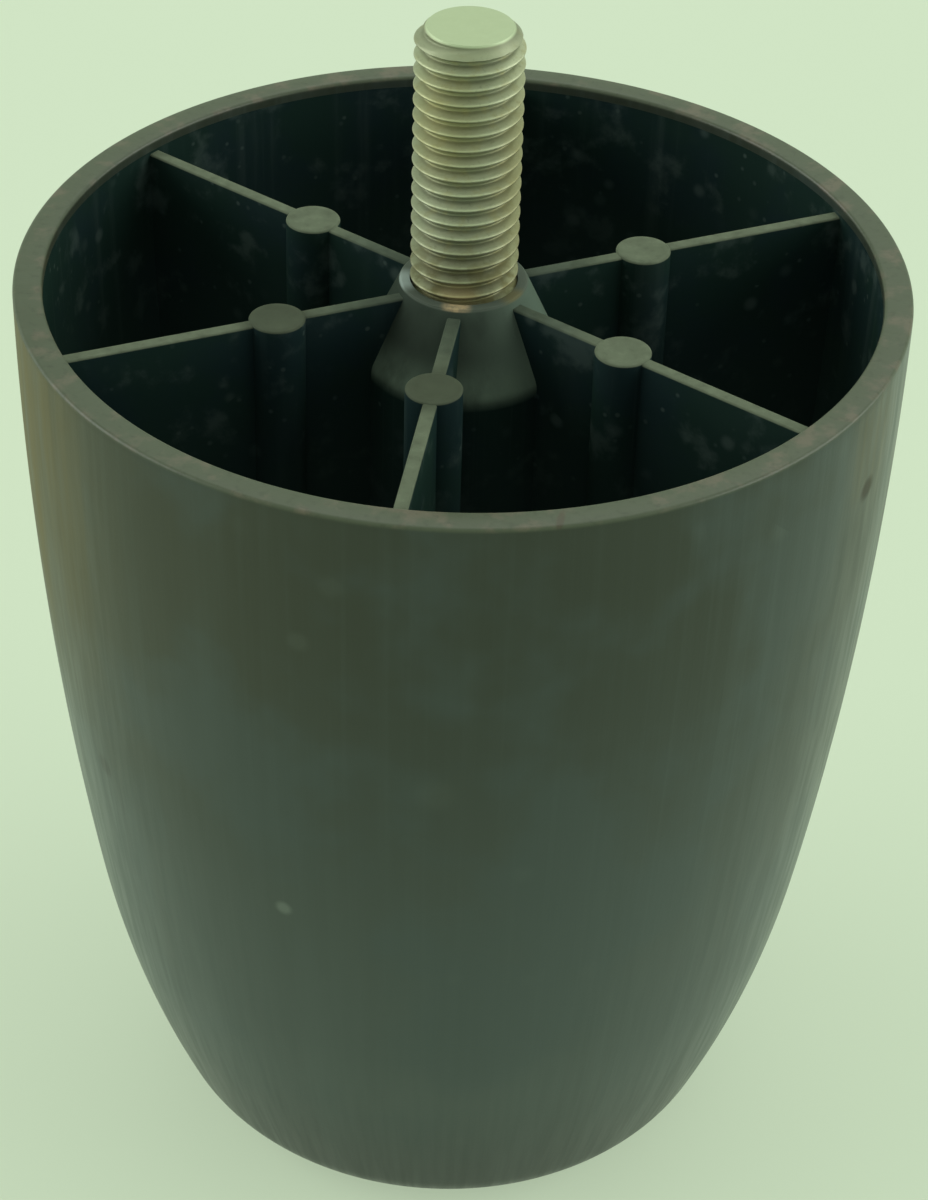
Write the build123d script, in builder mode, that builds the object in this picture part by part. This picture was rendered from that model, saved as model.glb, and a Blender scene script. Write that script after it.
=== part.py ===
"""A round, tapered furniture leg: one moulded plastic shell with a threaded steel stud in it.

Millimetres. The origin is the centre of the flat foot, where it meets the floor. +Z runs up
the stud, towards the furniture that the leg carries. One of the six ribs points along -Y.
"""

import os

from build123d import *

# The shell
BODY_HEIGHT = 95.0  # floor to rim
RIM_RADIUS = 41.5  # outside, at the rim
WALL = 2.7
RIM_CHAMFER = 0.3

# The outside bends down from the rim in three arcs, each tangent to the last. They meet at the
# waist and the heel, and end on the flat foot. Each place is a radius and a height.
WAIST = (36.4, 30.4)
HEEL = (29.3, 5.0)
FOOT_RADIUS = 21.9

# The ribs: straight webs from wall to wall, and the round pads that eject the moulding
WEB_ANGLES = (30.0, 90.0, 150.0)  # from +X, towards +Y
RIB_THICKNESS = 1.3
RIB_RECESS = 1.35  # rib tops sit this far below the rim
PAD_RADIUS = 2.6
PAD_CIRCLE_RADIUS = 18.3
RIB_DRAFT = 0.25  # each side of a web leans out by this angle, down to the floor

# The hub that holds the stud: a column with a tapered nose
COLUMN_RADIUS = 9.4
NOSE_RADIUS = 5.9
NOSE_RECESS = 0.6  # the nose's top below the rim
SHOULDER_RECESS = 8.3  # the foot of the taper below the rim
SHOULDER_EDGE_RADIUS = 0.6

# The stud, an M10 thread: its outside and pitch diameters
THREAD_RADIUS = 5.0
GRIPPED_RADIUS = 4.51  # the plastic fills the thread down to its pitch line
STUD_REACH = 25.0  # above the rim
TIP_CHAMFER = 1.1
GRIPPED_LENGTH = 32.0
FLATS_WIDTH = 7.4  # across two flats that stop the stud turning
FLATS_LENGTH = 10.0

RIB_TOP = BODY_HEIGHT - RIB_RECESS
NOSE_TOP = BODY_HEIGHT - NOSE_RECESS
SHOULDER_TOP = BODY_HEIGHT - SHOULDER_RECESS
STUD_TOP = BODY_HEIGHT + STUD_REACH
STUD_FOOT = NOSE_TOP - GRIPPED_LENGTH

# The stud: turned bar, threaded above the hub, gripped by the plastic below it
with BuildPart() as threaded_stud:
    with BuildSketch(Plane.XY.offset(NOSE_TOP)):
        Circle(THREAD_RADIUS)
    extrude(amount=STUD_TOP - NOSE_TOP)
    chamfer(threaded_stud.faces().sort_by(Axis.Z)[-1].edges(), TIP_CHAMFER)
    with BuildSketch(Plane.XY.offset(STUD_FOOT + FLATS_LENGTH)):
        Circle(GRIPPED_RADIUS)
    extrude(amount=GRIPPED_LENGTH - FLATS_LENGTH)
    with BuildSketch(Plane.XY.offset(STUD_FOOT)):
        Circle(GRIPPED_RADIUS)
        Rectangle(2 * GRIPPED_RADIUS, FLATS_WIDTH, mode=Mode.INTERSECT)
    extrude(amount=FLATS_LENGTH)

# The full outside of the leg, as a solid of revolution
with BuildPart() as outside:
    with BuildSketch(Plane.XZ):
        with BuildLine():
            flank = TangentArc((RIM_RADIUS, BODY_HEIGHT), WAIST, tangent=(0, -1))
            lower_flank = TangentArc(WAIST, HEEL, tangent=flank % 1)
            heel = TangentArc(HEEL, (FOOT_RADIUS, 0), tangent=lower_flank % 1)
            Polyline(heel @ 1, (0, 0), (0, BODY_HEIGHT), flank @ 0)
        make_face()
    revolve(axis=Axis.Z)

# The webs, which widen on their way down to the floor, and the round pads on them
with BuildPart() as ribs:
    for web_angle in WEB_ANGLES:
        with BuildSketch(Plane.XY.offset(RIB_TOP)):
            Rectangle(2 * RIM_RADIUS, RIB_THICKNESS, rotation=web_angle)
        extrude(amount=-RIB_TOP, taper=-RIB_DRAFT)
    with BuildSketch(Plane.XY.offset(RIB_TOP)):
        with PolarLocations(PAD_CIRCLE_RADIUS, 2 * len(WEB_ANGLES), start_angle=WEB_ANGLES[0]):
            Circle(PAD_RADIUS)
    extrude(amount=-RIB_TOP)

# The hub: a column, with a taper from its shoulder up to the nose
with BuildPart() as hub:
    with BuildSketch(Plane.XY.offset(SHOULDER_TOP)):
        Circle(COLUMN_RADIUS)
    extrude(amount=-SHOULDER_TOP)
    with BuildSketch(Plane.XY.offset(SHOULDER_TOP)):
        Circle(COLUMN_RADIUS)
    with BuildSketch(Plane.XY.offset(NOSE_TOP)):
        Circle(NOSE_RADIUS)
    loft()
    shoulder_edge = hub.edges().filter_by(GeomType.CIRCLE).filter_by_position(
        Axis.Z, SHOULDER_TOP - 1, SHOULDER_TOP + 1
    )
    fillet(shoulder_edge, SHOULDER_EDGE_RADIUS)

# An even wall behind the outside, open at the top
with BuildPart() as shell:
    add(outside.part)
    offset(amount=-WALL, openings=shell.faces().sort_by(Axis.Z)[-1])

# The hollow: what the wall encloses, with the ribs and the hub left standing in it
with BuildPart() as hollow:
    add(outside.part)
    add(shell.part, mode=Mode.SUBTRACT)
    add(ribs.part, mode=Mode.SUBTRACT)
    add(hub.part, mode=Mode.SUBTRACT)

# The moulding: the outside, with the hollow and the stud's seat taken out of it
with BuildPart() as leg_body:
    add(outside.part)
    add(hollow.part, mode=Mode.SUBTRACT)
    rim_edges = leg_body.faces().sort_by(Axis.Z)[-1].edges()
    chamfer(rim_edges, RIM_CHAMFER)
    add(threaded_stud.part, mode=Mode.SUBTRACT)

leg_body.part.label = "leg_body"
threaded_stud.part.label = "threaded_stud"

os.makedirs("parts", exist_ok=True)
export_step(leg_body.part, "parts/leg_body.step")
export_step(threaded_stud.part, "parts/threaded_stud.step")
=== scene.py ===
# %% [markdown]
# # A moulded furniture leg
#
# This lesson dresses a plastic furniture leg: a round, tapered shell that is open at the top,
# with six ribs, a hub and a threaded steel stud in it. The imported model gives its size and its
# place. Blender adds what a rigid solid can't hold: fine round surfaces, a true helical thread,
# and the finish of old plastic and plated steel.

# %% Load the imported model
import math

import bpy
import numpy as np
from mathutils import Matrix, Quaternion, Vector


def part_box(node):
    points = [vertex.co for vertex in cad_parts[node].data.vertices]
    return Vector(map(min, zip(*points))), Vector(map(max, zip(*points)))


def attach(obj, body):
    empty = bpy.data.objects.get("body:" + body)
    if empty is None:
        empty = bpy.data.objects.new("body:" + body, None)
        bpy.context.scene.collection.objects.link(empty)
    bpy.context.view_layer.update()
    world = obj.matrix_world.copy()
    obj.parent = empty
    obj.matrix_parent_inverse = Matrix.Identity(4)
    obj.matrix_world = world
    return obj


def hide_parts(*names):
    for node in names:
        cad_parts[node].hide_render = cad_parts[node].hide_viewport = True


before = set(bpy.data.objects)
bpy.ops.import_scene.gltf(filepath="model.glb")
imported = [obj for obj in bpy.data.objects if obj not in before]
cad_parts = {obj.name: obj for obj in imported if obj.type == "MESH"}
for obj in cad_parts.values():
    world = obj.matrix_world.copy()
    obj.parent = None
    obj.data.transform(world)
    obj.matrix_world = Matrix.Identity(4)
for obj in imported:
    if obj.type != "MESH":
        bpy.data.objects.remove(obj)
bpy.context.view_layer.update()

# %% [markdown]
# ## Sizes
#
# The frame gives the rim's radius, the body's height and the stud's length. The rest are the
# moulding's own driving sizes, the same as in the solid model. They are kept in millimetres,
# which is how such a part is drawn, and MM turns them into the scene's metres.

# %% Sizes
MM = 0.001
body_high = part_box("leg_body")[1]
stud_low, stud_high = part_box("threaded_stud")
BODY_HEIGHT = body_high.z / MM
RIM_RADIUS = body_high.x / MM
STUD_TOP = stud_high.z / MM
STUD_FOOT = stud_low.z / MM
STUD_RADIUS = stud_high.x / MM

WALL = 2.7
WAIST = (36.4, 30.4)  # radius and height where the side's first arc ends
HEEL = (29.3, 5.0)
FOOT_RADIUS = 21.9
RIB_THICKNESS = 1.3
RIB_TOP = BODY_HEIGHT - 1.35
RIB_DRAFT = math.tan(math.radians(0.25))  # the slope of each of a rib's sides
RIB_ANGLES = tuple(math.radians(30 + 60 * k) for k in range(6))
PAD_RADIUS = 2.6
PAD_CIRCLE_RADIUS = 18.3
COLUMN_RADIUS = 9.4
NOSE_RADIUS = 5.9
NOSE_TOP = BODY_HEIGHT - 0.6
SHOULDER_TOP = BODY_HEIGHT - 8.3
PITCH = 1.5
TIP_CHAMFER = 1.1
print("rim radius", round(RIM_RADIUS, 2), "body", round(BODY_HEIGHT, 2), "stud top", round(STUD_TOP, 2))

# %% [markdown]
# ## One way to skin every piece
#
# All the pieces of this leg are tubes of a kind: rings of points, one after another, with the
# two ends drawn together to a point. A lathe turns a profile into such rings. A rib is a
# section carried along a line. So one function, given a block of rings, makes every mesh. It
# works on whole arrays, and the first and last tips close the poles.

# %% Skin a stack of rings
SHARP_ANGLE = math.radians(40)  # a bend of more than this stays a crisp edge


def skin(name, rings, first_tip, last_tip, wear_and_light=None, second_from=None):
    """Closes a stack of rings into one mesh.

    rings has the shape (rows, columns, 3), in millimetres. Quad (i, j) joins ring i to ring
    i + 1 and point j to point j + 1, and the last point joins the first. Triangles close the
    first ring on first_tip and the last ring on last_tip. Faces look along the columns'
    direction crossed with the rows' direction. The wear-and-light values say, for each row or
    each point, how scuffed the surface is there, from 0 to 1; on the ribs they also hold painted
    shade near the hub, and on the rib and pad tops partly a painted highlight. From the row
    second_from on, the faces take the piece's second material.
    """
    rows, columns = rings.shape[:2]
    points = np.concatenate([rings.reshape(-1, 3), [first_tip], [last_tip]]) * MM
    index = np.arange(rows * columns).reshape(rows, columns)
    ahead = np.roll(index, -1, axis=1)
    quads = np.stack([index[:-1], ahead[:-1], ahead[1:], index[1:]], axis=-1).reshape(-1, 4)
    first, last = rows * columns, rows * columns + 1
    start_fan = np.stack([np.full(columns, first), ahead[0], index[0]], axis=-1)
    end_fan = np.stack([index[-1], ahead[-1], np.full(columns, last)], axis=-1)
    corners = np.concatenate([quads.ravel(), start_fan.ravel(), end_fan.ravel()])
    sizes = np.concatenate([np.full(len(quads), 4), np.full(2 * columns, 3)])

    mesh = bpy.data.meshes.new(name)
    mesh.vertices.add(len(points))
    mesh.vertices.foreach_set("co", points.ravel())
    mesh.loops.add(len(corners))
    mesh.loops.foreach_set("vertex_index", corners.astype(np.int32))
    mesh.polygons.add(len(sizes))
    mesh.polygons.foreach_set("loop_start", (np.cumsum(sizes) - sizes).astype(np.int32))
    if second_from is not None:
        quad_rows = np.repeat(np.arange(rows - 1), columns)
        face_rows = np.concatenate([quad_rows, np.zeros(columns), np.full(columns, rows)])
        mesh.polygons.foreach_set("material_index", (face_rows >= second_from).astype(np.int32))
    mesh.update(calc_edges=True)
    mesh.validate()
    mesh.shade_smooth()
    mesh.set_sharp_from_angle(angle=SHARP_ANGLE)

    worn_and_lit = np.zeros((rows, columns)) if wear_and_light is None else np.broadcast_to(wear_and_light, (rows, columns))
    worn_and_lit = np.concatenate([worn_and_lit.ravel(), [worn_and_lit[0].mean(), worn_and_lit[-1].mean()]])
    attribute = mesh.attributes.new("wear_and_light", "FLOAT", "POINT")
    attribute.data.foreach_set("value", worn_and_lit.astype(np.float32))

    piece = bpy.data.objects.new(name, mesh)
    bpy.context.scene.collection.objects.link(piece)
    print(name, "has", len(sizes), "faces")
    return piece


def lathe(profile, columns, centre=(0.0, 0.0)):
    """Rings for a profile of (radius, height) rows turned about the upright line at centre."""
    turn = np.linspace(0, 2 * np.pi, columns, endpoint=False)
    radius, height = np.asarray(profile, float).T
    x = centre[0] + radius[:, None] * np.cos(turn)
    y = centre[1] + radius[:, None] * np.sin(turn)
    z = np.broadcast_to(height[:, None], x.shape)
    return np.stack([x, y, z], axis=-1)


# %% [markdown]
# ## The outline of the side
#
# The outside bends from the rim to the foot in three arcs that run smoothly into each other.
# An arc is settled by its first point, its direction there and its last point: its centre lies
# square to that direction, as far away as the last point. Arcs keep the outline even, where a
# free curve through the same points would wave.

# %% Arcs for the outline


def tangent_arc(start, direction, end, count):
    """Points on the arc that leaves start in the given direction and passes through end.

    With n square to the direction, the centre is start + n R, where R is the squared distance
    to the end over twice that distance's share along n. Also returns the direction at the end.
    """
    start, end = np.array(start, float), np.array(end, float)
    direction = np.array(direction, float) / np.linalg.norm(direction)
    normal = np.array([direction[1], -direction[0]])
    chord = end - start
    radius = chord @ chord / (2 * chord @ normal)
    centre = start + normal * radius
    sweep = 2 * math.atan2(chord @ normal, chord @ direction)
    step = np.linspace(0, sweep, count)[:, None]
    points = centre + radius * (np.sin(step) * direction - np.cos(step) * normal)
    return points, math.cos(sweep) * direction + math.sin(sweep) * normal


STRAIGHT_DOWN = (0, -1)
FLANK_POINTS, LOWER_FLANK_POINTS, HEEL_POINTS = 60, 26, 18
flank, at_waist = tangent_arc((RIM_RADIUS, BODY_HEIGHT), STRAIGHT_DOWN, WAIST, FLANK_POINTS)
lower_flank, at_heel = tangent_arc(WAIST, at_waist, HEEL, LOWER_FLANK_POINTS)
heel, at_foot = tangent_arc(HEEL, at_heel, (FOOT_RADIUS, 0), HEEL_POINTS)
side = np.concatenate([flank, lower_flank[1:], heel[1:]])
side_slope = np.gradient(side, axis=0)
side_slope /= np.linalg.norm(side_slope, axis=1, keepdims=True)
inner_side = side + WALL * np.stack([side_slope[:, 1], -side_slope[:, 0]], axis=1)
print("the side has", len(side), "points and ends level to", round(at_foot[1], 3))


def outside_radius(height):
    """Radius of the outside at a height, read from the outline."""
    return np.interp(height, side[::-1, 1], side[::-1, 0])


# %% [markdown]
# ## The shell
#
# The shell is a lathed profile that runs up the outside, over the rim and down the inside. A
# moulded rim is never sharp, so each of its edges is a quarter of a small circle. One profile
# turned once gives the even wall of the real moulding, with the inside and the outside in one
# closed skin. Hands and floors have dulled the outside and the rim, and the inside is dark and
# dusty, so the faces of the inside take a second material.

# %% Make the shell


def quarter_round(corner, radius, start_angle, count=6):
    """Points round a quarter circle in a profile. corner is its centre."""
    angle = np.radians(start_angle) + np.linspace(0, np.pi / 2, count)
    return np.stack([corner[0] + radius * np.cos(angle), corner[1] + radius * np.sin(angle)], axis=1)


RIM_ROUND = 0.35
SHELL_COLUMNS = 360
outer_round = quarter_round((RIM_RADIUS - RIM_ROUND, BODY_HEIGHT - RIM_ROUND), RIM_ROUND, 0)
inner_round = quarter_round((RIM_RADIUS - WALL + RIM_ROUND, BODY_HEIGHT - RIM_ROUND), RIM_ROUND, 90)
below_rim = side[:, 1] < BODY_HEIGHT - RIM_ROUND
going_up = side[below_rim][::-1]
going_down = inner_side[below_rim]
under_foot = [[FOOT_RADIUS * 0.5, 0]]
shell_profile = np.concatenate([under_foot, going_up, outer_round, inner_round, going_down])
outside_rows = len(under_foot) + len(going_up) + len(outer_round) + len(inner_round)
shell = skin(
    "moulded_shell",
    lathe(shell_profile, SHELL_COLUMNS),
    (0, 0, 0),
    (0, 0, WALL),
    second_from=outside_rows,
)

# %% [markdown]
# ## The ribs
#
# Six ribs run from the hub to the wall. A rib is thin at its top and wider at the floor, so that
# the moulding can leave its mould. Its outer end has to stay inside the wall while the shell
# narrows towards the foot. So the rib is a section, carried from the hub to the wall, and each
# point of the section stops at the shell's radius at its own height. Its rounded top is marked
# as scuffed, and less so near the hub, which is painted shade from the stud and the hub.

# %% Make the ribs
EDGE_ROUND = 0.22
RIB_INNER_END = STUD_RADIUS + 0.5
RIB_RINGS, RIB_SIDE_ROWS = 60, 24
WEAR_AND_SHADE_AT = ([6, 12, 16], [0.45, 0.6, 1.0])  # distance from the axis, and how pale the top is: scuffed, with painted shade near the hub


def rib_section():
    """The rib's section as (offset, height): up one side, over the rounded top, and down."""
    top_half = RIB_THICKNESS / 2
    heights = np.linspace(WALL / 2, RIB_TOP - EDGE_ROUND, RIB_SIDE_ROWS)
    halves = top_half + (RIB_TOP - heights) * RIB_DRAFT
    right = np.stack([halves, heights], axis=1)
    over_right = quarter_round((top_half - EDGE_ROUND, RIB_TOP - EDGE_ROUND), EDGE_ROUND, 0, 5)
    over_left = quarter_round((EDGE_ROUND - top_half, RIB_TOP - EDGE_ROUND), EDGE_ROUND, 90, 5)
    left = right[::-1] * (-1, 1)
    return np.concatenate([right, over_right[1:], over_left, left[1:]])


def make_rib(name, angle):
    """A rib at an angle from +X: section point (o, h) at share s is at (1 - s) a + s r(h)."""
    offset, height = rib_section().T
    share = np.linspace(0, 1, RIB_RINGS)[:, None]
    along = RIB_INNER_END + share * (outside_radius(height) - WALL / 2 - RIB_INNER_END)
    across = np.broadcast_to(offset, along.shape)
    x = along * math.cos(angle) - across * math.sin(angle)
    y = along * math.sin(angle) + across * math.cos(angle)
    z = np.broadcast_to(height, along.shape)
    rings = np.stack([x, y, z], axis=-1)
    tips = [rings[i].mean(axis=0) for i in (0, -1)]
    top = np.clip((z - RIB_TOP + EDGE_ROUND) / (0.4 * EDGE_ROUND), 0, 1)
    # The top is scuffed, and less pale near the hub: painted shade from the stud and the hub.
    worn_and_lit = top * np.interp(along, *WEAR_AND_SHADE_AT)
    return skin(name, rings, tips[0], tips[1], worn_and_lit)


ribs = [make_rib(f"rib_{k + 1}", angle) for k, angle in enumerate(RIB_ANGLES)]

# %% [markdown]
# ## The ejector pads
#
# Half-way along each rib stands a round column. The mould's ejector pins push on these pads,
# which leaves their tops flat and smooth. Each is a small lathed column with a rounded edge and
# a pin's shallow dish.

# %% Make the pads
PAD_TOP = RIB_TOP + 0.12
DISH_DEPTH = 0.06
DISH_EDGE, DISH_FLOOR = 0.72, 0.66  # shares of the pad's radius
PAD_COLUMNS = 48


def make_pad(name, angle):
    """A column of PAD_RADIUS on the pads' circle, with a dish as deep as DISH_DEPTH."""
    shoulder = quarter_round((PAD_RADIUS - EDGE_ROUND, PAD_TOP - EDGE_ROUND), EDGE_ROUND, 0)
    low = [[PAD_RADIUS, h] for h in np.linspace(WALL / 2, RIB_TOP - 1, 12)]
    dish = [[PAD_RADIUS * DISH_EDGE, PAD_TOP], [PAD_RADIUS * DISH_FLOOR, PAD_TOP - DISH_DEPTH]]
    profile = np.concatenate([low, shoulder, dish])
    centre = (PAD_CIRCLE_RADIUS * math.cos(angle), PAD_CIRCLE_RADIUS * math.sin(angle))
    wear_and_light = np.where(profile[:, 1] > PAD_TOP - 0.9 * EDGE_ROUND, 1.0, 0.0)
    return skin(
        name,
        lathe(profile, PAD_COLUMNS, centre),
        (*centre, WALL / 2),
        (*centre, PAD_TOP - DISH_DEPTH),
        wear_and_light[:, None],
    )


pads = [make_pad(f"ejector_pad_{k + 1}", angle) for k, angle in enumerate(RIB_ANGLES)]

# %% [markdown]
# ## The hub
#
# The hub grips the stud. Above a shoulder its column tapers to a nose, which ends in a narrow
# ring of plastic round the thread. Its profile goes up the outside, over the nose and down the
# seat that the stud fills. The taper is marked as touched.

# %% Make the hub
SEAT_RADIUS = STUD_RADIUS + 0.02
NOSE_EDGE = 0.14
SHOULDER_BEND = ((0, -0.45), (-0.03, -0.15), (-0.09, 0.12))  # points, from the sharp corner
HUB_COLUMNS = 120


def make_hub():
    """The hub's profile: column, rounded shoulder, taper, nose ring and the stud's seat."""
    column = [[COLUMN_RADIUS, h] for h in np.linspace(WALL / 2, SHOULDER_TOP - 1.2, 13)]
    slope = (COLUMN_RADIUS - NOSE_RADIUS) / (NOSE_TOP - SHOULDER_TOP)
    heights = np.linspace(SHOULDER_TOP + 0.4, NOSE_TOP - 0.2, 14)
    taper = np.stack([NOSE_RADIUS + (NOSE_TOP - heights) * slope, heights], axis=1)
    bend = np.add((COLUMN_RADIUS, SHOULDER_TOP), SHOULDER_BEND)
    nose = quarter_round((NOSE_RADIUS - NOSE_EDGE, NOSE_TOP - NOSE_EDGE), NOSE_EDGE, 0, 4)
    seat = [[SEAT_RADIUS, NOSE_TOP], [SEAT_RADIUS, NOSE_TOP - 0.5], [SEAT_RADIUS, STUD_FOOT]]
    profile = np.concatenate([column, bend, taper, nose, seat])
    height = profile[:, 1]
    wear_and_light = np.interp(height, [0, SHOULDER_TOP - 1.1, SHOULDER_TOP, NOSE_TOP], [0, 0, 1, 1])
    rings = lathe(profile, HUB_COLUMNS)
    return skin("stud_hub", rings, (0, 0, WALL / 2), (0, 0, STUD_FOOT), wear_and_light[:, None])


hub = make_hub()

# %% [markdown]
# ## The thread
#
# A rolled M10 thread is a ridge that winds up the bar, 1.5 mm for each turn. The surface is the
# bar's radius at each angle and height: the height, less the part of a pitch that the angle
# stands for, says where in the ridge's wave the point is. So no ridge has to be swept, and the
# thread meets itself all round. A right-hand thread rises as the angle grows. At the tip the
# ridge dies into the chamfer, and at the hidden foot two flats stop the stud turning.

# %% Make the stud
THREAD_DEPTH = 0.92
THREAD_START = 0.14  # share of a pitch by which the whole ridge is raised
CREST_SHARE = 0.125
ROOT_SHARE = 0.78
CORNER_SHARE = 0.045  # the ridge is evened out over this share of a pitch, up and down
FLATS_WIDTH = 7.4
FLATS_TOP = STUD_FOOT + 10
STUD_COLUMNS = 120
HIDDEN_RINGS, SHOWN_RINGS = 80, 520  # below and above a level 1 mm down in the hub


def thread_radius(turn, height):
    """Radius of the thread: a flat crest an eighth of a pitch wide, straight flanks, a flat root.

    The ridge is the mean of its values a little above and below, which rounds its corners.
    """
    nearby = np.linspace(-CORNER_SHARE, CORNER_SHARE, 7)[:, None, None]
    wave = np.mod(height / PITCH - turn / (2 * np.pi) - THREAD_START + nearby, 1.0)
    distance = np.abs(wave - 0.5) * 2  # 0 on the crest, 1 in the root
    ridge = 1 - np.clip((distance - CREST_SHARE) / (ROOT_SHARE - CREST_SHARE), 0, 1)
    return STUD_RADIUS - THREAD_DEPTH * (1 - ridge.mean(axis=0))


def make_stud():
    """Rings up the bar; the chamfer and the flats are the least of the radii that meet there."""
    turn = np.linspace(0, 2 * np.pi, STUD_COLUMNS, endpoint=False)[None, :]
    hidden = np.linspace(STUD_FOOT, NOSE_TOP - 1, HIDDEN_RINGS, endpoint=False)
    height = np.concatenate([hidden, np.linspace(NOSE_TOP - 1, STUD_TOP, SHOWN_RINGS)])[:, None]
    radius = thread_radius(turn, height)
    chamfer = STUD_RADIUS - TIP_CHAMFER + (STUD_TOP - height)
    radius = np.minimum(radius, chamfer)
    across_flats = FLATS_WIDTH / 2 / np.maximum(np.abs(np.sin(turn)), 1e-6)
    radius = np.where(height < FLATS_TOP, np.minimum(radius, across_flats), radius)
    rings = np.stack([radius * np.cos(turn), radius * np.sin(turn), height + 0 * turn], axis=-1)
    return skin("threaded_rod", rings, (0, 0, STUD_FOOT), (0, 0, STUD_TOP))


stud = make_stud()

# %% [markdown]
# ## Riding and replacing
#
# Each new piece rides on the one body that the leg has, and the solids that they replace are hidden.

# %% Join the pieces to the frame
for piece in [shell, *ribs, *pads, hub]:
    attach(piece, "root")
    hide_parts("leg_body")
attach(stud, "root")
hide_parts("threaded_stud")
print("pieces:", len(ribs) + len(pads) + 3)

# %% [markdown]
# ## Node helpers
#
# A material is a small graph. These helpers add a node, set its sockets and join it, so that a
# finish reads as a list of layers. Coordinates are the object's own, in millimetres. For marks
# that follow the moulding round, `around` is the same place with its radius evened out, so that
# a line drawn on it runs down the taper and not across it.

# %% Node helpers
AROUND_RADIUS = 40.0
print("marks that go round are drawn on a cylinder of", AROUND_RADIUS, "mm")


class Graph:
    """A material's node tree with short calls to add and join nodes."""

    def __init__(self, name):
        self.material = bpy.data.materials.new(name)
        self.material.use_nodes = True
        self.tree = self.material.node_tree
        self.tree.nodes.clear()
        self.shader = self.add("ShaderNodeBsdfPrincipled")
        output = self.add("ShaderNodeOutputMaterial")
        self.tree.links.new(self.shader.outputs[0], output.inputs["Surface"])
        place = self.add("ShaderNodeTexCoord")
        scale = self.add("ShaderNodeMapping")
        scale.inputs["Scale"].default_value = (1 / MM,) * 3
        self.join(place.outputs["Object"], scale.inputs["Vector"])
        self.millimetres = scale.outputs["Vector"]
        axes = self.add("ShaderNodeSeparateXYZ")
        self.join(self.millimetres, axes.inputs[0])
        self.x, self.y, self.height = axes.outputs
        level = self.vector(self.x, self.y, 0.0)
        self.radius = self.vector_math("LENGTH", level).outputs["Value"]
        bearing = self.vector_math("NORMALIZE", level).outputs["Vector"]
        turned = self.vector_math("SCALE", bearing, scale=AROUND_RADIUS).outputs["Vector"]
        upright = self.vector(0.0, 0.0, self.height)
        self.around = self.vector_math("ADD", turned, upright).outputs["Vector"]

    def add(self, kind, **settings):
        """A new node of a kind, with its settings."""
        node = self.tree.nodes.new(kind)
        for key, value in settings.items():
            setattr(node, key, value)
        return node

    def join(self, source, target):
        """Links an output to a socket, or writes a plain value on it."""
        if hasattr(source, "links"):
            self.tree.links.new(source, target)
        else:
            target.default_value = source

    def vector(self, x, y, z):
        """Three values, each a number or an output, as one vector."""
        node = self.add("ShaderNodeCombineXYZ")
        for value, socket in zip((x, y, z), node.inputs):
            self.join(value, socket)
        return node.outputs[0]

    def vector_math(self, operation, a, b=None, scale=None):
        """The node of a vector operation. Some of them give a vector, and some a value."""
        node = self.add("ShaderNodeVectorMath", operation=operation)
        self.join(a, node.inputs[0])
        if b is not None:
            self.join(b, node.inputs[1])
        if scale is not None:
            node.inputs["Scale"].default_value = scale
        return node

    def math(self, operation, a, b=0.0):
        """The output of an operation on numbers."""
        node = self.add("ShaderNodeMath", operation=operation)
        self.join(a, node.inputs[0])
        self.join(b, node.inputs[1])
        return node.outputs[0]

    def times(self, *values):
        """The product of several values, each a number or an output."""
        total = values[0]
        for value in values[1:]:
            total = self.math("MULTIPLY", total, value)
        return total

    def ramp(self, value, low, high, to_low=0.0, to_high=1.0):
        """value from low to high becomes to_low to to_high, and stays level beyond them."""
        node = self.add("ShaderNodeMapRange", interpolation_type="SMOOTHSTEP", clamp=True)
        self.join(value, node.inputs["Value"])
        if low > high:
            low, high, to_low, to_high = high, low, to_high, to_low
        names = ("From Min", "From Max", "To Min", "To Max")
        for name, number in zip(names, (low, high, to_low, to_high)):
            node.inputs[name].default_value = number
        return node.outputs["Result"]

    def mix(self, share, a, b):
        """Colour a where share is 0 and colour b where it is 1."""
        node = self.add("ShaderNodeMix", data_type="RGBA")
        self.join(share, node.inputs["Factor"])
        self.join(a if hasattr(a, "links") else (*a, 1.0), node.inputs[6])
        self.join(b if hasattr(b, "links") else (*b, 1.0), node.inputs[7])
        return node.outputs[2]

    def mix_value(self, share, a, b):
        """Number a where share is 0 and number b where it is 1."""
        node = self.add("ShaderNodeMix", data_type="FLOAT")
        for value, socket in zip((share, a, b), (node.inputs[0], node.inputs[2], node.inputs[3])):
            self.join(value, socket)
        return node.outputs[0]

    def mapped(self, source, scale, stretch, offset):
        """A place scaled and moved, so that a pattern on it is drawn out along the axes."""
        mapping = self.add("ShaderNodeMapping")
        mapping.inputs["Location"].default_value = offset
        mapping.inputs["Scale"].default_value = [scale / s for s in stretch]
        self.join(source, mapping.inputs["Vector"])
        return mapping.outputs["Vector"]

    def noise(self, scale, detail=3.0, rough=0.55, stretch=(1, 1, 1), offset=(0, 0, 0), on=None):
        """Noise with about scale features to the millimetre, stretched along the axes."""
        node = self.add("ShaderNodeTexNoise")
        node.inputs["Scale"].default_value = 1.0
        node.inputs["Detail"].default_value = detail
        node.inputs["Roughness"].default_value = rough
        source = self.millimetres if on is None else on
        self.join(self.mapped(source, scale, stretch, offset), node.inputs["Vector"])
        return node.outputs["Fac"]

    def specks(self, scale, size, share, offset=(0, 0, 0)):
        """Round specks in a share of a random grid's cells, with scale cells to the millimetre."""
        node = self.add("ShaderNodeTexVoronoi", voronoi_dimensions="3D", feature="F1")
        node.inputs["Scale"].default_value = 1.0
        place = self.mapped(self.millimetres, scale, (1, 1, 1), offset)
        self.join(place, node.inputs["Vector"])
        chosen = self.add("ShaderNodeSeparateColor")
        self.join(node.outputs["Color"], chosen.inputs[0])
        spot = self.ramp(node.outputs["Distance"], size, size * 0.3)
        strength = self.ramp(chosen.outputs[0], 1 - share, 1.0, 0.0, 1.0)
        return self.times(spot, strength)

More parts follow.
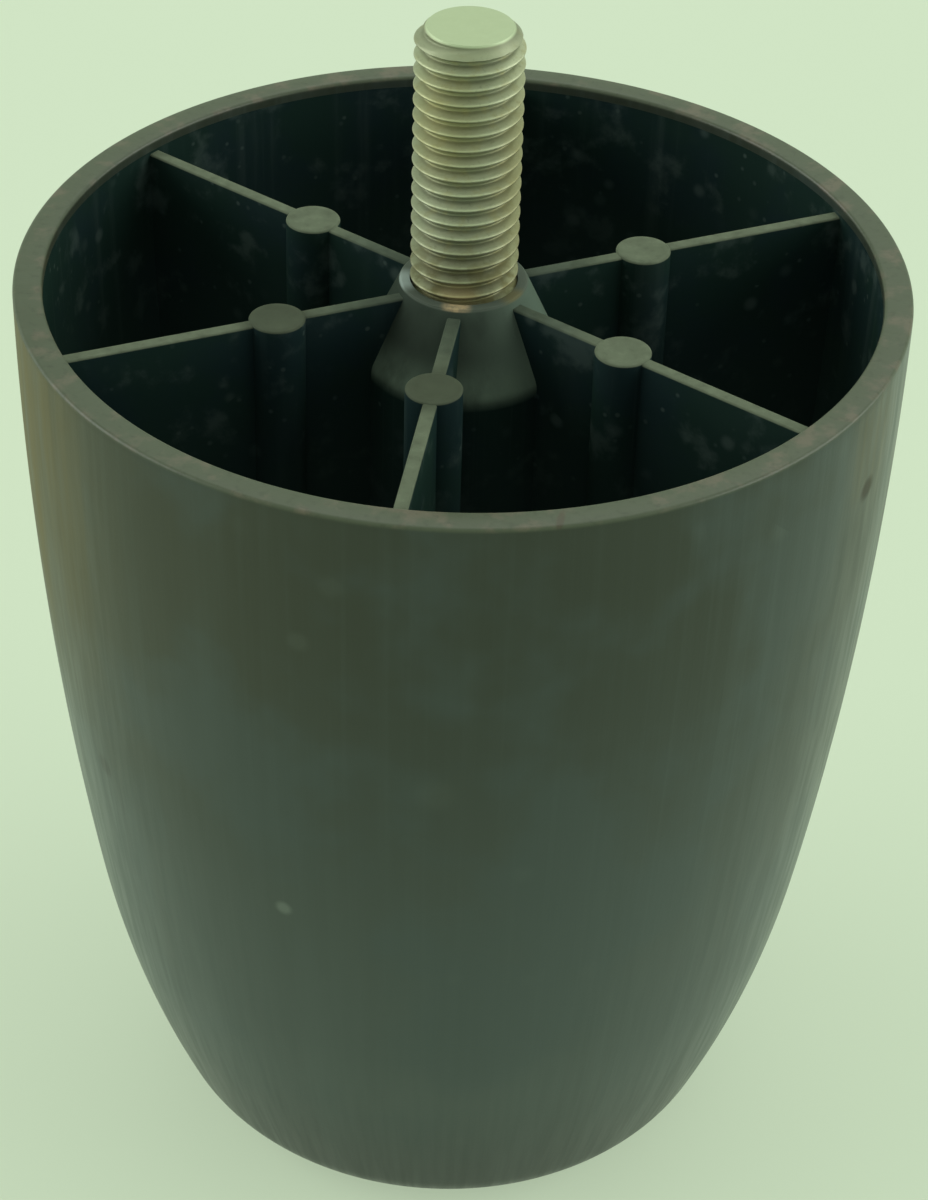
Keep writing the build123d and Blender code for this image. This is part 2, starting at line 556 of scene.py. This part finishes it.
    def near(self, point, inner, outer, stretch=(1, 1, 1)):
        """1 within inner millimetres of a point, falling to 0 at outer; stretch widens both."""
        mapping = self.add("ShaderNodeMapping", vector_type="TEXTURE")
        mapping.inputs["Location"].default_value = point
        mapping.inputs["Scale"].default_value = stretch
        self.join(self.millimetres, mapping.inputs["Vector"])
        length = self.vector_math("LENGTH", mapping.outputs["Vector"])
        return self.ramp(length.outputs["Value"], outer, inner)

    def bump(self, height, distance, strength=1.0, after=None):
        """A normal bent as if height, from 0 to 1, stood up by distance in millimetres."""
        node = self.add("ShaderNodeBump")
        node.inputs["Strength"].default_value = strength
        node.inputs["Distance"].default_value = distance * MM
        self.join(height, node.inputs["Height"])
        if after is not None:
            self.join(after, node.inputs["Normal"])
        return node.outputs["Normal"]


def shade(colour, amount):
    """A colour made lighter or darker by a factor."""
    return tuple(amount * c for c in colour)


# %% [markdown]
# ## The dark inside
#
# Inside the leg the plastic has kept its black. Dust has settled on it in small soft spots, and
# upright smears show where the mould's core was pulled out. Little light reaches its depth, so
# the colour is raised there, and the ribs can still be told apart. The shell's inside is this
# layer alone. The ribs, the pads and the hub start from it too, and the `wear_and_light` attribute on
# their meshes says where the next layer begins.

# %% The dark inside
INSIDE_BLACK = (0.0095, 0.0250, 0.0190)
INSIDE_BLUE = (0.0095, 0.0230, 0.0225)
INSIDE_DEEP = (0.0600, 0.1150, 0.0920)
DUST = (0.085, 0.125, 0.105)
DUSTY_GLOSS = 0.03  # specular level: dust has taken the shine away
DUSTY_ROUGHNESS = 0.75


def inside_colour(g):
    """Black plastic, paler in its depth, with upright smears, dust spots and larger soft blots."""
    smears = g.noise(0.5, detail=4, stretch=(1, 1, 22), on=g.around)
    clouds = g.noise(0.09, detail=4, offset=(5, 1, 9))
    colour = g.mix(g.ramp(clouds, 0.42, 0.62), INSIDE_BLACK, INSIDE_BLUE)
    colour = g.mix(g.ramp(g.height, 90, 55), colour, INSIDE_DEEP)
    colour = g.mix(g.ramp(smears, 0.52, 0.80, 0, 0.16), colour, DUST)
    colour = g.mix(g.times(g.specks(0.30, 0.30, 0.5), 0.45), colour, DUST)
    colour = g.mix(g.times(g.specks(0.75, 0.26, 0.35, offset=(4, 7, 2)), 0.40), colour, DUST)
    blots = g.times(g.ramp(g.noise(0.22, detail=5, offset=(2, 2, 5)), 0.54, 0.70), 0.30)
    return g.mix(blots, colour, DUST)


def inside_plastic():
    """The dark inside alone, with no shine."""
    g = Graph("inside plastic")
    g.join(inside_colour(g), g.shader.inputs["Base Color"])
    g.shader.inputs["Roughness"].default_value = DUSTY_ROUGHNESS
    g.shader.inputs["Specular IOR Level"].default_value = DUSTY_GLOSS
    g.join(g.bump(g.noise(2.0, detail=2), 0.02, 0.5), g.shader.inputs["Normal"])
    return g.material


inside_finish = inside_plastic()
print("the inside's finish has", len(inside_finish.node_tree.nodes), "nodes")

# %% [markdown]
# ## The wall
#
# The outside has dulled to a dark grey. Its colour is darkest near the rim and palest a little
# above the foot, a painted reflection of the floor, and painted shade darkens it again at the
# foot. Fine upright lines are left from when it was pulled out of its mould. Their paleness,
# strong at the sides and faint in front, is a painted reflection. A warm stain runs down from
# the rim on one side, and there is a trace of it on the other. Each of these is one function
# that lays its colour over the last.

# %% The wall's layers
WALL_DARK = (0.0310, 0.0425, 0.0275)
WALL_PALE = (0.0590, 0.0830, 0.0700)
WALL_BLUE = (0.0480, 0.0740, 0.0660)
OLIVE_BLOOM = (0.0470, 0.0520, 0.0280)
WARM_STAIN = (0.112, 0.097, 0.032)
BLOOM_AT = (-30, -30, 84)
STAIN_AT = (-37.5, -17, 83)
TRACE_AT = (39, -13.6, 90)


def aged_and_lit_wall(g):
    """Painted reflection paling downwards, an olive bloom, bluish clouds and painted shade at the foot.
    """
    clouds = g.noise(0.05, detail=4, offset=(3, 8, 1))
    # Darkest near the rim and palest above the foot: a painted reflection of the floor.
    wall = g.mix(g.ramp(g.height, 90, 20), WALL_DARK, WALL_PALE)
    wall = g.mix(g.times(g.near(BLOOM_AT, 8, 42), 0.45), wall, OLIVE_BLOOM)
    wall = g.mix(g.ramp(clouds, 0.45, 0.62, 0, 0.5), wall, WALL_BLUE)
    # Darker again towards the foot: painted shade near the floor.
    return g.mix(g.ramp(g.height, 24, 2, 0, 0.8), wall, shade(WALL_PALE, 0.38))


def upright_lines(g, wall, fine_lines, above_foot):
    """Fine pale lines, and broad lines that are pale or dark, all fainter in front: painted reflection.
    """
    broad_lines = g.noise(0.28, detail=3, stretch=(1, 1, 18), offset=(7, 3, 0), on=g.around)
    # The lines are real drag marks; their paleness, strong at the sides and faint in front, is a
    # painted reflection.
    off_front = g.times(above_foot, g.ramp(g.y, -38, -22, 0.3, 0.8))
    pale, dark = shade(WALL_PALE, 1.5), shade(WALL_DARK, 0.8)
    for share, colour in (
        (g.ramp(fine_lines, 0.45, 0.75, 0, 0.22), pale),
        (g.ramp(broad_lines, 0.52, 0.70, 0, 0.20), pale),
        (g.ramp(broad_lines, 0.48, 0.32, 0, 0.20), dark),
    ):
        wall = g.mix(g.times(share, off_front), wall, colour)
    return wall


def warm_stains(g, wall, fine_lines):
    """The stain, broken into upright runs, and the trace. Also returns the stain's strength."""
    runs = g.noise(0.22, detail=4, stretch=(1, 1, 9), offset=(2, 5, 8), on=g.around)
    stain = g.near(STAIN_AT, 5, 22, stretch=(1, 1, 1.45))
    stain = g.times(stain, g.mix_value(0.50, g.ramp(runs, 0.38, 0.62), 1.0))
    wall = g.mix(g.times(stain, g.ramp(fine_lines, 0.3, 0.7, 0.75, 1.0)), wall, WARM_STAIN)
    trace = g.near(TRACE_AT, 1, 7, stretch=(1, 1, 1.5))
    trace = g.times(trace, g.ramp(fine_lines, 0.35, 0.65, 0.2, 0.8))
    return g.mix(trace, wall, shade(WARM_STAIN, 0.7)), stain


print("the wall's green goes from", WALL_DARK[1], "at the rim to", WALL_PALE[1], "above the foot")

# %% [markdown]
# ## Marks and the rim
#
# A few marks are placed one by one: a pale speck, some faint spots, a dark spot, and a brown nick
# near the rim. The rim is pale from scuffing, pinkish in patches, and has a small brown tick.

# %% The marks and the rim
SCUFFED_RIM = (0.066, 0.086, 0.050)
PINK_SCUFF = (0.110, 0.108, 0.070)
PALE_SPECK = (0.150, 0.190, 0.150)
DARK_MARK = (0.010, 0.011, 0.008)
BROWN_NICK = (0.060, 0.045, 0.028)
PALE_SPOTS = (
    # place, size, strength
    ((-10.3, -37.4, 47.7), 1.1, 0.55),
    ((-8.2, -40.4, 81.1), 1.4, 0.10),
    ((-5.3, -41.1, 87.7), 1.6, 0.07),
    ((4.0, -40.3, 65.6), 2.6, 0.06),
)
DARK_MARK_AT = (-29.7, -25.8, 52.6)
NICK_AT = (38.65, -14.5, 85.2)
RIM_TICK_AT = (13.6, -38.3, 95.0)


def placed_marks(g, wall):
    """Faint scattered specks, the placed spots and the nick. Also returns the nick's strength."""
    tarnish = g.specks(0.16, 0.30, 0.25, offset=(1, 4, 6))
    wall = g.mix(g.times(tarnish, 0.09), wall, PALE_SPECK)
    for point, size, amount in PALE_SPOTS:
        wall = g.mix(g.times(g.near(point, size * 0.3, size), amount), wall, PALE_SPECK)
    wall = g.mix(g.times(g.near(DARK_MARK_AT, 0.5, 1.6), 0.6), wall, DARK_MARK)
    nick = g.near(NICK_AT, 0.4, 1.2, stretch=(1.2, 1.5, 1.3))
    return g.mix(g.times(nick, 0.65), wall, shade(BROWN_NICK, 0.5)), nick


def scuffed_rim(g):
    """Pale grey with pinkish patches, a little grime and the tick."""
    patches = g.ramp(g.noise(0.35, detail=4, offset=(9, 1, 3)), 0.5, 0.68)
    grime = g.ramp(g.noise(1.2, detail=3), 0.52, 0.72, 0, 0.4)
    rim = g.mix(patches, SCUFFED_RIM, PINK_SCUFF)
    rim = g.mix(grime, rim, shade(SCUFFED_RIM, 0.55))
    tick = g.near(RIM_TICK_AT, 0.4, 0.9, stretch=(0.5, 2.0, 1))
    return g.mix(g.times(tick, 0.6), rim, BROWN_NICK)


print("marks placed one by one:", len(PALE_SPOTS) + 3)

# %% [markdown]
# ## The shell's two finishes
#
# The outside is semi-matt: old plastic reflects less than new, and the stain and the nick are
# duller still. The upright lines are also a very shallow bump, which fades at the foot. The
# inside takes the dark, dusty finish in the shell's second slot.

# %% The shell's finishes
PLASTIC_GLOSS = 0.3  # specular level: old plastic is duller than the usual 0.5
WIPED_ROUGHNESS = (0.28, 0.37)
DULLED_ROUGHNESS = 0.65


def shell_plastic():
    """The wall with its lines, stains and marks, and the scuffed rim at its top."""
    g = Graph("shell plastic")
    fine_lines = g.noise(1.1, detail=5, rough=0.6, stretch=(1, 1, 80), on=g.around)
    above_foot = g.ramp(g.height, 0.5, 8)
    wall = upright_lines(g, aged_and_lit_wall(g), fine_lines, above_foot)
    wall, stain = warm_stains(g, wall, fine_lines)
    wall, nick = placed_marks(g, wall)
    on_rim = g.ramp(g.height, BODY_HEIGHT - 0.5, BODY_HEIGHT - 0.1)
    g.join(g.mix(on_rim, wall, scuffed_rim(g)), g.shader.inputs["Base Color"])

    wiped = g.ramp(g.noise(0.9, detail=3, stretch=(1, 1, 9), on=g.around), 0.3, 0.7, *WIPED_ROUGHNESS)
    dulled = g.math("MAXIMUM", g.times(stain, 0.8), g.times(nick, 0.6))
    g.join(g.mix_value(dulled, wiped, DULLED_ROUGHNESS), g.shader.inputs["Roughness"])
    normal = g.bump(g.times(fine_lines, above_foot), 0.03, 0.4)
    normal = g.bump(g.noise(3.0, detail=2), 0.010, 0.5, after=normal)
    normal = g.bump(g.times(nick, -1.0), 0.06, 1.0, after=normal)
    g.join(normal, g.shader.inputs["Normal"])
    g.shader.inputs["Specular IOR Level"].default_value = PLASTIC_GLOSS
    return g.material


for finish in (shell_plastic(), inside_finish):
    shell.data.materials.append(finish)
print("the shell's finishes:", [finish.name for finish in shell.data.materials])

# %% [markdown]
# ## Ribs and pads
#
# The tops of the ribs and of the ejector pads are pale, as the rim is: scuffed, and partly a
# painted highlight. Two of the pads are darker than the others. Their sides are as dark as the
# rest of the inside.

# %% Ribs and pads
# Pale tops: scuffed, and partly a painted highlight of the light they catch from above.
SCUFFED_AND_LIT_TOP = (0.122, 0.156, 0.097)
TOP_ROUGHNESS = 0.45
DARKER_PADS = (3, 4)  # the pads on the left and in front


def rib_plastic():
    """The dark inside, with pale tops that are a little uneven, scuffed and partly a painted highlight.
    """
    g = Graph("rib plastic")
    wear_and_light = g.add("ShaderNodeAttribute", attribute_name="wear_and_light").outputs["Fac"]
    uneven = g.noise(0.8, detail=4, offset=(3, 3, 3))
    top = g.mix(g.ramp(uneven, 0.5, 0.75, 0, 0.5), SCUFFED_AND_LIT_TOP, shade(SCUFFED_AND_LIT_TOP, 0.6))
    top = g.mix(g.ramp(uneven, 0.5, 0.3, 0, 0.4), top, shade(SCUFFED_AND_LIT_TOP, 1.4))
    for k in DARKER_PADS:
        across, back = math.cos(RIB_ANGLES[k]), math.sin(RIB_ANGLES[k])
        centre = (PAD_CIRCLE_RADIUS * across, PAD_CIRCLE_RADIUS * back, RIB_TOP)
        top = g.mix(g.times(g.near(centre, 2.2, 5.0), 0.75), top, shade(SCUFFED_AND_LIT_TOP, 0.40))
    g.join(g.mix(wear_and_light, inside_colour(g), top), g.shader.inputs["Base Color"])
    g.join(g.ramp(wear_and_light, 0, 1, DUSTY_ROUGHNESS, TOP_ROUGHNESS), g.shader.inputs["Roughness"])
    g.join(g.bump(g.noise(3.0, detail=2), 0.012, 0.5), g.shader.inputs["Normal"])
    g.shader.inputs["Specular IOR Level"].default_value = DUSTY_GLOSS
    return g.material


rib_finish = rib_plastic()
for piece in [*ribs, *pads]:
    piece.data.materials.append(rib_finish)
print(len(ribs) + len(pads), "pieces share the finish", rib_finish.name)

# %% [markdown]
# ## The hub's finish
#
# The hub's cone is dull grey, with painted shade on the left, painted light on the right and a
# painted highlight on the lip at its shoulder. The ring on its nose is pale, with a painted
# highlight on one side.
# Damp has left a small patch of rust on it in front, and a yellowed one beside that.

# %% The hub's finish
CONE_GREY = (0.050, 0.074, 0.052)
LIP_HIGHLIGHT = (0.135, 0.200, 0.135)
RING_PALE = (0.084, 0.110, 0.080)
RING_HIGHLIGHT = (0.270, 0.350, 0.295)
YELLOW_RING = (0.150, 0.145, 0.060)
RUST = (0.420, 0.350, 0.185)
CONE_ROUGHNESS, RING_ROUGHNESS = 0.65, 0.40
RING_HIGHLIGHT_AT = (-5.3, -1.4, 94.4)
YELLOW_AT = (5.0, -2.6, 94.4)
RUST_AT = (0.1, -5.3, 94.4)


def hub_plastic():
    """Grey cone with painted side shading and lip highlight; a pale ring with a painted highlight,
    yellow and rust.
    """
    g = Graph("hub plastic")
    wear_and_light = g.add("ShaderNodeAttribute", attribute_name="wear_and_light").outputs["Fac"]
    uneven = g.noise(0.5, detail=4, stretch=(1, 1, 3))
    cone = g.mix(g.ramp(uneven, 0.4, 0.7, 0, 0.5), CONE_GREY, shade(CONE_GREY, 0.6))
    # Darker on the left and paler on the right: painted shade and painted light.
    cone = g.mix(g.ramp(g.x, 3.0, -7.0, 0, 0.75), cone, shade(CONE_GREY, 0.50))
    cone = g.mix(g.ramp(g.x, 2.0, 8.0, 0, 0.85), cone, shade(CONE_GREY, 2.3))
    # A painted highlight on the lip at the shoulder.
    lip_highlight = g.ramp(g.height, SHOULDER_TOP + 4.0, SHOULDER_TOP + 0.2)
    cone = g.mix(g.times(lip_highlight, g.ramp(uneven, 0.3, 0.6, 0.4, 0.9)), cone, LIP_HIGHLIGHT)
    ring = g.ramp(g.height, NOSE_TOP - 0.30, NOSE_TOP - 0.12)
    # A painted highlight on the ring's left side.
    ring_colour = g.mix(g.near(RING_HIGHLIGHT_AT, 0.6, 2.4), RING_PALE, RING_HIGHLIGHT)
    ring_colour = g.mix(g.times(g.near(YELLOW_AT, 0.5, 2.0), 0.7), ring_colour, YELLOW_RING)
    rust = g.times(g.near(RUST_AT, 0.6, 1.7), g.ramp(g.noise(1.6), 0.35, 0.6, 0.5, 1.0))
    ring_colour = g.mix(rust, ring_colour, RUST)
    worn_and_lit = g.mix(ring, cone, ring_colour)
    amount = g.math("MAXIMUM", wear_and_light, ring)
    g.join(g.mix(amount, inside_colour(g), worn_and_lit), g.shader.inputs["Base Color"])
    g.join(g.ramp(ring, 0, 1, CONE_ROUGHNESS, RING_ROUGHNESS), g.shader.inputs["Roughness"])
    g.join(g.bump(g.noise(2.0, detail=3), 0.03, 0.5), g.shader.inputs["Normal"])
    g.shader.inputs["Specular IOR Level"].default_value = DUSTY_GLOSS
    return g.material


hub.data.materials.append(hub_plastic())
print("the hub's finish:", hub.data.materials[0].name)

# %% [markdown]
# ## Plated steel
#
# The stud was rolled, then zinc plated. Plating on a thread is bright on the crests and dull
# in the roots, and it has yellowed. Both sides are darkened with painted shade, and the right
# side is also yellowed with tarnish. The chamfer at the tip is darkened with painted shade, and
# near the hub the plating is darker and yellower. The distance from the stud's axis says whether
# a point is on a crest or in a root.

# %% Plated steel
BRIGHT_ZINC = (0.43, 0.47, 0.315)
DULL_ZINC = (0.20, 0.22, 0.14)
YELLOWED = (0.34, 0.32, 0.13)
TIP_ZINC = (0.42, 0.50, 0.32)
METAL_SHARE = 0.6  # dull plating reflects partly like paint
ALONG = (1, 1, 2.6)  # draws a patch out up and down the stud
RUSTY_FOOT_AT = (0.2, -4.9, 95.0)
TARNISHED_AND_SHADED_RIGHT_AT = (5.5, -0.5, 106)
SHADED_LEFT_AT = (-5.5, 0, 106)
YELLOWED_FRONT_AT = (-2.5, -4.3, 112)


def plated_steel():
    """Bright crests, dull roots, yellowed plating, painted shade on sides and chamfer, darker near the
    foot.
    """
    g = Graph("zinc plated steel")
    crest = g.ramp(g.radius, STUD_RADIUS - THREAD_DEPTH, STUD_RADIUS - 0.40)
    end_face = g.ramp(g.height, STUD_TOP - 0.25, STUD_TOP - 0.05)
    chamfer = g.ramp(g.height, STUD_TOP - TIP_CHAMFER - 0.2, STUD_TOP - TIP_CHAMFER)
    patches = g.noise(0.7, detail=4)
    fine = g.noise(2.6, detail=4, offset=(1, 2, 3))
    colour = g.mix(crest, DULL_ZINC, BRIGHT_ZINC)
    colour = g.mix(g.ramp(patches, 0.48, 0.72, 0, 0.45), colour, YELLOWED)
    colour = g.mix(g.ramp(fine, 0.55, 0.75, 0, 0.4), colour, shade(DULL_ZINC, 0.7))
    # Darker and yellower towards the hub.
    near_hub = g.ramp(g.height, BODY_HEIGHT + 8, BODY_HEIGHT)
    for share, amount, layer in (
        (near_hub, g.ramp(patches, 0.35, 0.6, 0.55, 0.95), shade(YELLOWED, 0.42)),
        (g.near(RUSTY_FOOT_AT, 0.6, 2.2, stretch=(1.3, 1, 0.8)), 0.7, RUST),
        # The right side: yellowed tarnish, and painted shade.
        (g.near(TARNISHED_AND_SHADED_RIGHT_AT, 1.5, 6.0, stretch=ALONG), 0.75, shade(YELLOWED, 0.6)),
        # The left side: painted shade.
        (g.near(SHADED_LEFT_AT, 2.0, 6.5, stretch=ALONG), 0.60, shade(DULL_ZINC, 0.9)),
        (g.near(YELLOWED_FRONT_AT, 1.5, 6.0, stretch=(1, 1, 1.4)), 0.5, YELLOWED),
        # The chamfer is darkened: painted shade.
        (chamfer, 0.6, DULL_ZINC),
        (end_face, 1.0, TIP_ZINC),
    ):
        colour = g.mix(g.times(share, amount), colour, layer)
    g.join(colour, g.shader.inputs["Base Color"])
    g.shader.inputs["Metallic"].default_value = METAL_SHARE
    g.join(g.ramp(patches, 0.3, 0.7, 0.45, 0.58), g.shader.inputs["Roughness"])
    g.join(g.bump(fine, 0.03, 0.4), g.shader.inputs["Normal"])
    return g.material


stud.data.materials.append(plated_steel())
print("the stud's finish:", stud.data.materials[0].name)

# %% [markdown]
# ## The floor
#
# A pale green floor runs past the picture's edges. The leg's shadow shows what it stands on, but
# a plain floor would be much darker round the foot. So where the floor is seen, about half of its
# light is an even glow of the same colour, and for all other light it is plain and matt.

# %% The floor
PALE_GREEN = (0.638, 0.783, 0.558)
FLOOR_HALF = 3.0
EVEN_SHARE = 0.55  # how much of the floor and its shadow is evened out where it is seen


def seen_directly(tree, share):
    """share for rays from the camera, from gloss and through glass, and 0 for other light."""
    path = tree.nodes.new("ShaderNodeLightPath")
    total = path.outputs["Is Camera Ray"]
    for name in ("Is Glossy Ray", "Is Transmission Ray"):
        either = tree.nodes.new("ShaderNodeMath")
        either.operation = "MAXIMUM"
        tree.links.new(total, either.inputs[0])
        tree.links.new(path.outputs[name], either.inputs[1])
        total = either.outputs[0]
    scaled = tree.nodes.new("ShaderNodeMath")
    scaled.operation = "MULTIPLY"
    scaled.inputs[1].default_value = share
    tree.links.new(total, scaled.inputs[0])
    return scaled.outputs[0]


def make_floor():
    """A flat square, FLOOR_HALF metres to each side, level with the foot."""
    corners = FLOOR_HALF * np.array([(-1, -1, 0), (1, -1, 0), (1, 1, 0), (-1, 1, 0)], float)
    mesh = bpy.data.meshes.new("floor")
    mesh.from_pydata(corners.tolist(), [], [(0, 1, 2, 3)])
    floor = bpy.data.objects.new("floor", mesh)
    bpy.context.scene.collection.objects.link(floor)
    material = bpy.data.materials.new("pale floor")
    material.use_nodes = True
    tree = material.node_tree
    matt = tree.nodes["Principled BSDF"]
    matt.inputs["Base Color"].default_value = (*PALE_GREEN, 1)
    matt.inputs["Roughness"].default_value = 0.9
    matt.inputs["Specular IOR Level"].default_value = 0.0
    even = tree.nodes.new("ShaderNodeEmission")
    even.inputs["Color"].default_value = (*PALE_GREEN, 1)
    choose = tree.nodes.new("ShaderNodeMixShader")
    tree.links.new(seen_directly(tree, EVEN_SHARE), choose.inputs[0])
    tree.links.new(matt.outputs[0], choose.inputs[1])
    tree.links.new(even.outputs[0], choose.inputs[2])
    tree.links.new(choose.outputs[0], tree.nodes["Material Output"].inputs["Surface"])
    mesh.materials.append(material)


make_floor()
print("the floor is", 2 * FLOOR_HALF, "m wide")

# %% [markdown]
# ## The sky
#
# An even white sky lights every side of the leg, so that nothing falls into full shadow. The
# camera and glossy surfaces see the floor's pale green in its place, so that the ground has no
# horizon.

# %% The sky
SKY_STRENGTH = 0.45


def make_sky():
    """Even white light, which the camera and glossy surfaces see as the floor's pale green."""
    world = bpy.data.worlds.new("even sky")
    bpy.context.scene.world = world
    world.use_nodes = True
    tree = world.node_tree
    light = tree.nodes["Background"]
    light.inputs["Color"].default_value = (1, 1, 1, 1)
    light.inputs["Strength"].default_value = SKY_STRENGTH
    seen = tree.nodes.new("ShaderNodeBackground")
    seen.inputs["Color"].default_value = (*PALE_GREEN, 1)
    choose = tree.nodes.new("ShaderNodeMixShader")
    tree.links.new(seen_directly(tree, 1.0), choose.inputs[0])
    tree.links.new(light.outputs[0], choose.inputs[1])
    tree.links.new(seen.outputs[0], choose.inputs[2])
    tree.links.new(choose.outputs[0], tree.nodes["World Output"].inputs["Surface"])


make_sky()
print("sky strength:", SKY_STRENGTH)

# %% [markdown]
# ## The lamps
#
# Soft lamps at both sides make the shell's edges paler than its front, as windows would, and a
# weaker one stands high at the back. They are suns, so their light is as strong at the foot as
# at the rim. With the sky, they are at a level where a colour renders about as it is written.

# %% The lamps
LAMPS = (
    # name, azimuth from -Y towards +X, elevation, strength, spread
    ("left lamp", -88, 14, 2.05, 60),
    ("right lamp", 95, 14, 2.05, 60),
    ("top lamp", 170, 62, 0.70, 60),
)


def make_lamp(name, azimuth, elevation, strength, spread):
    """A sun lamp from a bearing round the leg. spread is the angle that it fills, in degrees."""
    data = bpy.data.lights.new(name, "SUN")
    data.energy = strength
    data.angle = math.radians(spread)
    lamp = bpy.data.objects.new(name, data)
    a, e = math.radians(azimuth), math.radians(elevation)
    toward = Vector((math.sin(a) * math.cos(e), -math.cos(a) * math.cos(e), math.sin(e)))
    lamp.rotation_mode = "QUATERNION"
    lamp.rotation_quaternion = toward.to_track_quat("Z", "Y")
    bpy.context.scene.collection.objects.link(lamp)


lamp_light = 0.0
for lamp in LAMPS:
    make_lamp(*lamp)
    lamp_light += lamp[3] * math.sin(math.radians(lamp[2]))
print("floor light level:", round(SKY_STRENGTH + lamp_light / math.pi, 3))

# %% [markdown]
# ## The camera
#
# The camera stands a little to one side of a rib and looks down into the leg, as in the
# photograph. Its lens is given for the picture's long side.

# %% Camera
PICTURE_HEIGHT = 1200
FOCAL_PIXELS = 3256
CAMERA_AZIMUTH = 7.4  # degrees round from -Y, towards +X
CAMERA_REACH = 260.5  # level distance from the leg's axis
CAMERA_HEIGHT = 249.5
AIM_SIDE = 0.9  # the aim point, to the right of the axis
AIM_HEIGHT = 57.2
CAMERA_ROLL = 1.69
SENSOR = 36.0  # its long side, in millimetres
CLIP_START = 0.01


def make_camera():
    """A camera on its bearing, aimed at a point beside the leg's axis, then rolled."""
    a = math.radians(CAMERA_AZIMUTH)
    back = Vector((math.sin(a), -math.cos(a), 0))
    right = Vector((math.cos(a), math.sin(a), 0))
    stand = back * CAMERA_REACH + Vector((0, 0, CAMERA_HEIGHT))
    aim = right * AIM_SIDE + Vector((0, 0, AIM_HEIGHT))
    data = bpy.data.cameras.new("camera")
    data.sensor_width = SENSOR
    data.lens = FOCAL_PIXELS * SENSOR / PICTURE_HEIGHT
    data.clip_start = CLIP_START
    camera = bpy.data.objects.new("camera", data)
    camera.location = stand * MM
    camera.rotation_mode = "QUATERNION"
    roll = Quaternion((0, 0, 1), math.radians(CAMERA_ROLL))
    camera.rotation_quaternion = (aim - stand).to_track_quat("-Z", "Y") @ roll
    bpy.context.scene.collection.objects.link(camera)
    bpy.context.scene.camera = camera
    return camera


camera = make_camera()
bpy.context.scene.view_settings.view_transform = "Standard"
print("camera at", [round(v, 3) for v in camera.location], "lens", round(camera.data.lens, 2))
